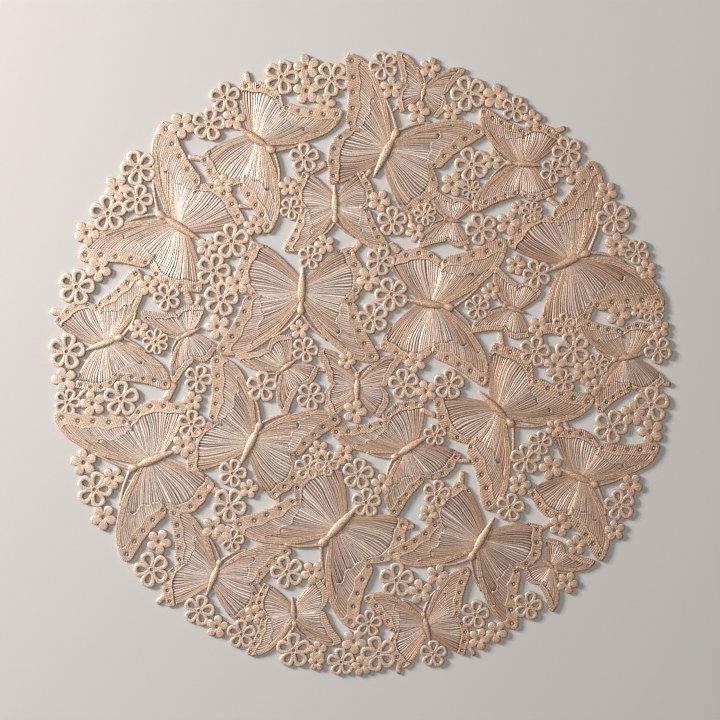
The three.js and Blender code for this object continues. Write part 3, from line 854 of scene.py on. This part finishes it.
def foil_material():
    """Rose gold foil on pressed vinyl: tan on the bands, with painted silver sheen on the veins and painted
    brown shade in the grooves.
    """
    nodes = Nodes("rose_gold_foil")
    painted_sheen_here, groove, coarse = nodes.parts(nodes.attribute("tone"))
    grain = nodes.attribute("grain")
    across_grain, _, hatching = nodes.parts(grain)
    place = nodes.add("ShaderNodeTexCoord").outputs["Object"]

    patches = nodes.noise(place, 38.0, 3.0)
    speckle = nodes.noise(place, 1500.0, 2.0)
    along_grain = nodes.add("ShaderNodeMapping", {0: grain, "Scale": (2.0, 0.2, 1.0)}).outputs[0]
    streaks = nodes.noise(along_grain, 1.0, 2.0)
    waves = nodes.math("SINE", nodes.math("MULTIPLY", across_grain, 2 * math.pi / HATCH_PITCH))
    hatch = nodes.math("MULTIPLY", waves, hatching)

    # Painted sheen: the tone's sheen, plus more at the left nearest the main light, turns the tan face
    # silvery
    painted_sheen_at_left = nodes.stretch(nodes.parts(place)[0], -0.19, 0.1, 0.22, 0.0)
    painted_sheen = nodes.math("ADD", painted_sheen_here, painted_sheen_at_left)
    streaky_painted_sheen = nodes.math("MULTIPLY", painted_sheen, nodes.stretch(streaks, 0.3, 0.6, 0.45, 1.08))
    tan = nodes.mix(nodes.ramp(patches, 0.35, 0.65), TAN, PALE_TAN)
    face = nodes.mix(streaky_painted_sheen, tan, PAINTED_SHEEN_ROSE)
    speckled = nodes.mix(nodes.ramp(speckle, 0.45, 0.65), face, BRIGHT_SPECK)
    pitted = nodes.mix(nodes.ramp(speckle, 0.5, 0.35), speckled, DARK_PIT)
    light = nodes.mix(nodes.math("MULTIPLY", coarse, 0.56), face, pitted)

    # Painted shade: grooves, hatch lines and streaks darken the face towards brown
    hatch_shade = nodes.math("MULTIPLY", nodes.math("MAXIMUM", hatch, 0.0), 0.4)
    smooth = nodes.math("SUBTRACT", 1.0, coarse)
    streak_shade = nodes.math("MULTIPLY", nodes.math("MULTIPLY", nodes.ramp(streaks, 0.46, 0.3), smooth), 0.5)
    fine_shade = nodes.math("MAXIMUM", hatch_shade, streak_shade)
    shade = nodes.math("MAXIMUM", nodes.math("MULTIPLY", groove, 0.95), fine_shade)
    nodes.join(nodes.mix(shade, light, PAINTED_GROOVE_SHADE), nodes.shader.inputs["Base Color"])

    roughness = nodes.math("MULTIPLY_ADD", coarse, 0.1, nodes.stretch(streaks, 0.0, 1.0, 0.34, 0.46))
    nodes.join(roughness, nodes.shader.inputs["Roughness"])
    nodes.shader.inputs["Metallic"].default_value = 0.45
    nodes.shader.inputs["Specular IOR Level"].default_value = 0.5

    streaked = nodes.bump(streaks, 0.2, 0.0003)
    grained = nodes.bump(nodes.math("MULTIPLY", speckle, coarse), 0.5, 0.0002, normal=streaked)
    hatched = nodes.bump(hatch, 0.8, 0.0001, normal=grained, sunk=True)
    nodes.join(hatched, nodes.shader.inputs["Normal"])
    return nodes.material


def floor_material():
    nodes = Nodes("pale_floor")
    nodes.shader.inputs["Base Color"].default_value = (0.5, 0.49, 0.475, 1)
    nodes.shader.inputs["Roughness"].default_value = 0.7
    return nodes.material


def add_floor():
    shape = bmesh.new()
    bmesh.ops.create_grid(shape, x_segments=1, y_segments=1, size=8)
    mesh = bpy.data.meshes.new("floor")
    shape.to_mesh(mesh)
    shape.free()
    mesh.materials.append(floor_material())
    floor = bpy.data.objects.new("floor", mesh)
    bpy.context.scene.collection.objects.link(floor)


def add_light(name, place, size, power, colour):
    light = bpy.data.lights.new(name, "AREA")
    light.size = size
    light.energy = power
    light.color = colour
    lamp = bpy.data.objects.new(name, light)
    lamp.location = place
    lamp.rotation_euler = (-Vector(place)).to_track_quat("-Z", "Y").to_euler()
    bpy.context.scene.collection.objects.link(lamp)


def add_studio():
    add_floor()
    add_light("window_light", (-1.6, 0.66, 0.7), 0.45, 65, (1.0, 0.957, 0.918))
    add_light("top_light", (-0.25, 0.2, 1.6), 1.0, 11, (1.0, 0.97, 0.94))
    world = bpy.data.worlds.new("soft_room")
    world.use_nodes = True
    background = world.node_tree.nodes["Background"]
    background.inputs["Color"].default_value = (1.0, 0.98, 0.96, 1)
    background.inputs["Strength"].default_value = 0.11
    bpy.context.scene.world = world
    bpy.context.scene.view_settings.view_transform = "Standard"


def add_camera():
    """Straight above the mat, which fills most of the frame."""
    height = 1.0
    frame_width = 0.4414
    camera = bpy.data.cameras.new("camera")
    camera.sensor_width = 36
    camera.lens = 36 * height / frame_width
    holder = bpy.data.objects.new("camera", camera)
    holder.location = (0, 0.0018, height)
    bpy.context.scene.collection.objects.link(holder)
    bpy.context.scene.camera = holder


def quarter_of(x, y):
    return ("back" if y > 0 else "front") + ("_left" if x < 0 else "_right")


def half_of(x):
    return "left" if x < 0 else "right"


def painted_sheen_strength(x, y):
    """How much painted sheen a butterfly gets: the most at the upper left, nearest the main light."""
    return float(np.clip(0.78 - 0.0018 * (x - 0.3 * y), 0.6, 0.95))


def butterfly_quarters():
    """The butterflies of each quarter of the mat, as one shape."""
    quarters = {}
    for index, row in enumerate(BUTTERFLIES):
        middle = (np.array(row[0]) + np.array(row[1])) / 2
        target = quarters.setdefault(quarter_of(*middle), new_shape())
        lift = NEIGHBOUR_LIFT * (index % 3) / 2
        draws = np.random.default_rng(500 + index)
        add_butterfly(target, row, lift, painted_sheen_strength(*middle), draws)
    return quarters


def flower_halves():
    """The flowers and links of each half of the mat, as one shape."""
    open_template = pierced_flower(*OPEN_SHAPE)
    whole_template = rosette_flower(*ROSETTE_SHAPE)
    slit_template = pierced_flower(*SLIT_SHAPE)
    halves = {"left": new_shape(), "right": new_shape()}
    beds = ((open_template, OPEN_FLOWERS), (whole_template, WHOLE_FLOWERS), (slit_template, SLIT_FLOWERS))
    for template, rows in beds:
        for index, row in enumerate(rows):
            place_flower(halves[half_of(row[0])], template, row, FLOWER_LIFT * (index % 4) / 3)
    for row in LINKS:
        add_link(halves[half_of((row[0] + row[2]) / 2)], row)
    return halves


def build_mat():
    foil = foil_material()
    quarters = butterfly_quarters()
    halves = flower_halves()
    flowers = {side: finished_piece("flowers_" + side, shape, foil) for side, shape in halves.items()}
    for name, shape in quarters.items():
        piece = finished_piece("butterflies_" + name, shape, foil)


build_mat()
add_studio()
add_camera()
